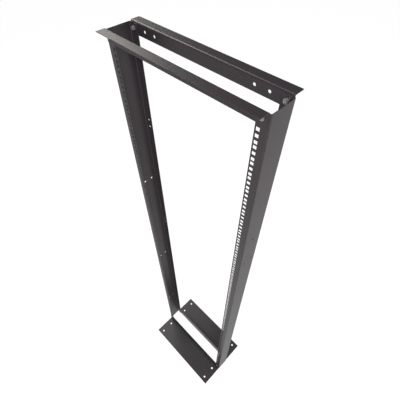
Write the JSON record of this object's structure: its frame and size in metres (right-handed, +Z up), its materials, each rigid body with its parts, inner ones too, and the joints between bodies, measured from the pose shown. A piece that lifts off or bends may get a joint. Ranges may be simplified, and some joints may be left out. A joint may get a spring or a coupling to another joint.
{
  "type": "two post open frame rack",
  "caption": "Open frame rack for equipment 19 inches wide: punched channel posts joined by folded head angles and wide floor angles.",
  "frame": {"origin": "on the floor, in the middle of the footprint", "axes": "+Z up the posts, -Y to the front where the square holes are, +X to the right seen from the front"},
  "size_m": [0.513, 0.3472, 2.1428],
  "materials": {
    "frame_paint": "black powder coat, satin, with fine texture",
    "bolt_zinc": "bright zinc plate"
  },
  "bodies": {
    "root": {"post_left": "frame_paint", "post_right": "frame_paint", "top_angle_front": "frame_paint", "top_angle_rear": "frame_paint", "base_angle_front": "frame_paint", "base_angle_rear": "frame_paint"}
  },
  "joints": []
}
